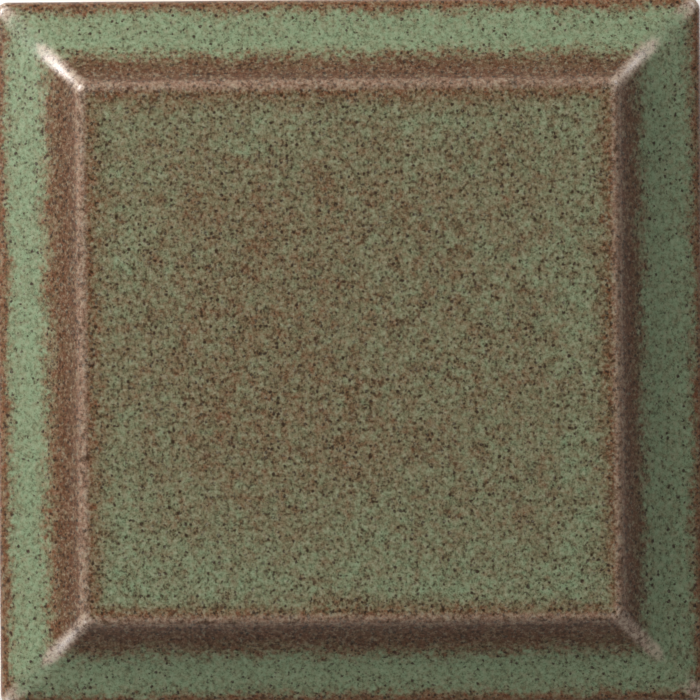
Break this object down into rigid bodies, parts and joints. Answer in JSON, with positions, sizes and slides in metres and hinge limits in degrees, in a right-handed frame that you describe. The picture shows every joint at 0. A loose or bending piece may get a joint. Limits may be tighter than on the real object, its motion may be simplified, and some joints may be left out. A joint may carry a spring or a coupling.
{
  "type": "stove tile",
  "caption": "Square glazed stove tile: raised panel with coved and mitred slopes, sloping border, and a box-shaped setting collar behind that is open at the back.",
  "frame": {"origin": "middle of the collar's rim, in the plane that it rests on", "axes": "+Z out of the glazed face, +Y to the tile's top edge and +X to its right edge as set in a stove"},
  "size_m": [0.22, 0.22, 0.0674],
  "materials": {
    "glazed_clay": "satin"
  },
  "bodies": {
    "root": {"stove_tile": "glazed_clay"}
  },
  "joints": []
}
